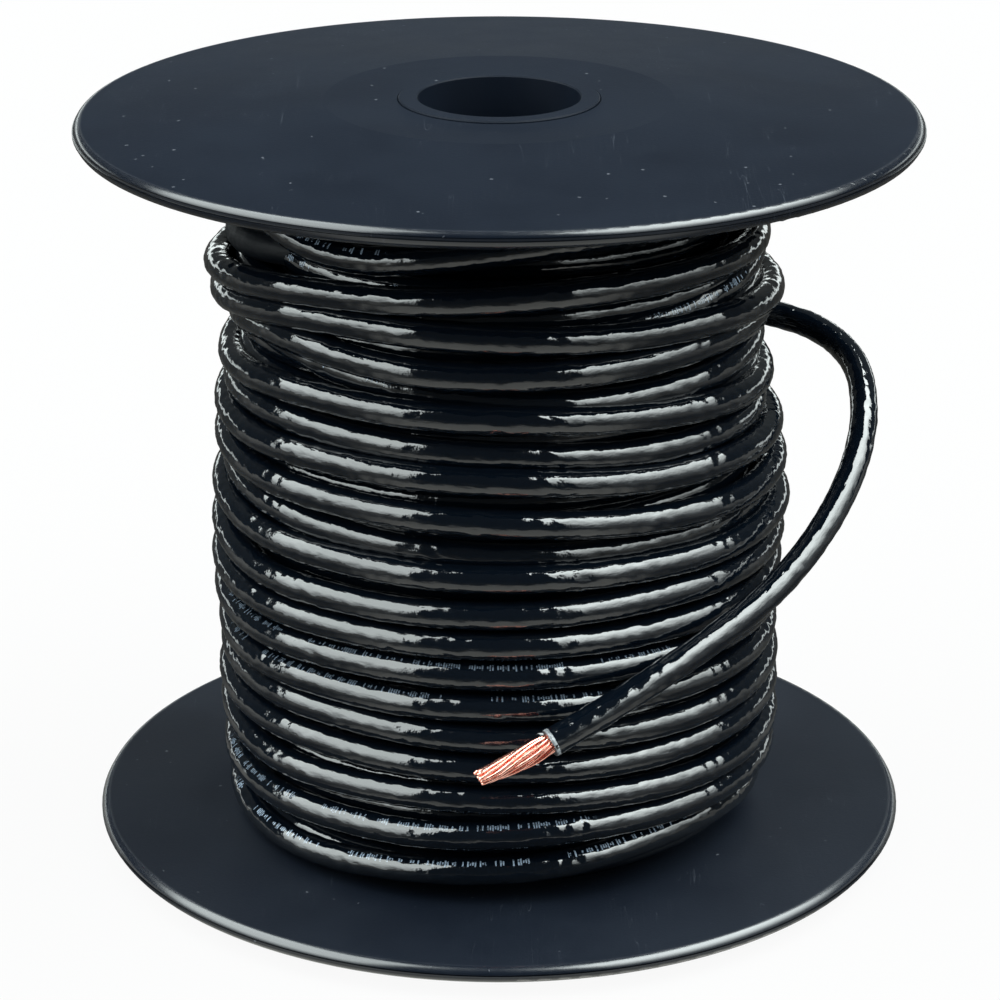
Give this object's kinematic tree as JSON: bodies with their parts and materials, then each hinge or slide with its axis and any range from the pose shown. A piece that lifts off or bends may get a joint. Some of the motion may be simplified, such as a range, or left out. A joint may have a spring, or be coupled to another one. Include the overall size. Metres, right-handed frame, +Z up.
{
  "type": "wire spool",
  "caption": "Round-flanged plastic spool wound with black stranded building wire, with a spindle bore and a free wire end stripped to bare copper.",
  "frame": {"origin": "on the spool's axis, in the plane of the lower hub face that the spool stands on", "axes": "+Z up along the spool's axis and spindle bore; the free end of the wire leaves the coil on the +X side and its stripped tip points across the -Y side"},
  "size_m": [0.165, 0.165, 0.1524],
  "materials": {
    "spool_plastic": "moulded, fine matte",
    "nylon_jacket": "glossy extruded nylon",
    "pvc_insulation": "extruded PVC",
    "copper": "bright drawn copper strand"
  },
  "bodies": {
    "spool": {"upper_flange": "spool_plastic", "lower_flange": "spool_plastic", "barrel": "spool_plastic", "arbor_tube": "spool_plastic", "layer_1_conductor": "copper", "layer_1_insulation": "nylon_jacket", "layer_2_conductor": "copper", "layer_2_insulation": "nylon_jacket", "layer_3_conductor": "copper", "layer_3_insulation": "nylon_jacket", "layer_4_conductor": "copper", "layer_4_insulation": "nylon_jacket", "layer_5_conductor": "copper", "layer_5_insulation": "pvc_insulation", "layer_5_jacket": "nylon_jacket"},
    "tail_1": {"tail_1_conductor": "copper", "tail_1_insulation": "pvc_insulation", "tail_1_jacket": "nylon_jacket"},
    "tail_2": {"tail_2_conductor": "copper", "tail_2_insulation": "pvc_insulation", "tail_2_jacket": "nylon_jacket"},
    "tail_3": {"tail_3_conductor": "copper", "tail_3_insulation": "pvc_insulation", "tail_3_jacket": "nylon_jacket"},
    "tail_4": {"tail_4_conductor": "copper", "tail_4_insulation": "pvc_insulation", "tail_4_jacket": "nylon_jacket", "strand_centre": "copper", "strands_inner": "copper", "strands_outer": "copper"}
  },
  "joints": [
    {"name": "tail_swing", "type": "hinge", "parent": "spool", "child": "tail_1", "pos_m": [0.05255, 0.03918, 0.0961], "axis": [-0.1393, -0.3059, 0.9418], "range_deg": [0, 30]},
    {"name": "loop_open", "type": "hinge", "parent": "tail_1", "child": "tail_2", "pos_m": [0.07341, 0.01288, 0.09065], "axis": [-0.4987, -0.2986, 0.8137], "range_deg": [0, 30]},
    {"name": "tail_lift", "type": "hinge", "parent": "tail_2", "child": "tail_3", "pos_m": [0.06683, -0.01828, 0.07518], "axis": [-0.8542, 0.52, 0], "range_deg": [0, 30]},
    {"name": "end_open", "type": "hinge", "parent": "tail_3", "child": "tail_4", "pos_m": [0.04555, -0.04255, 0.05973], "axis": [-0.4322, 0.0539, 0.9002], "range_deg": [0, 30]}
  ]
}
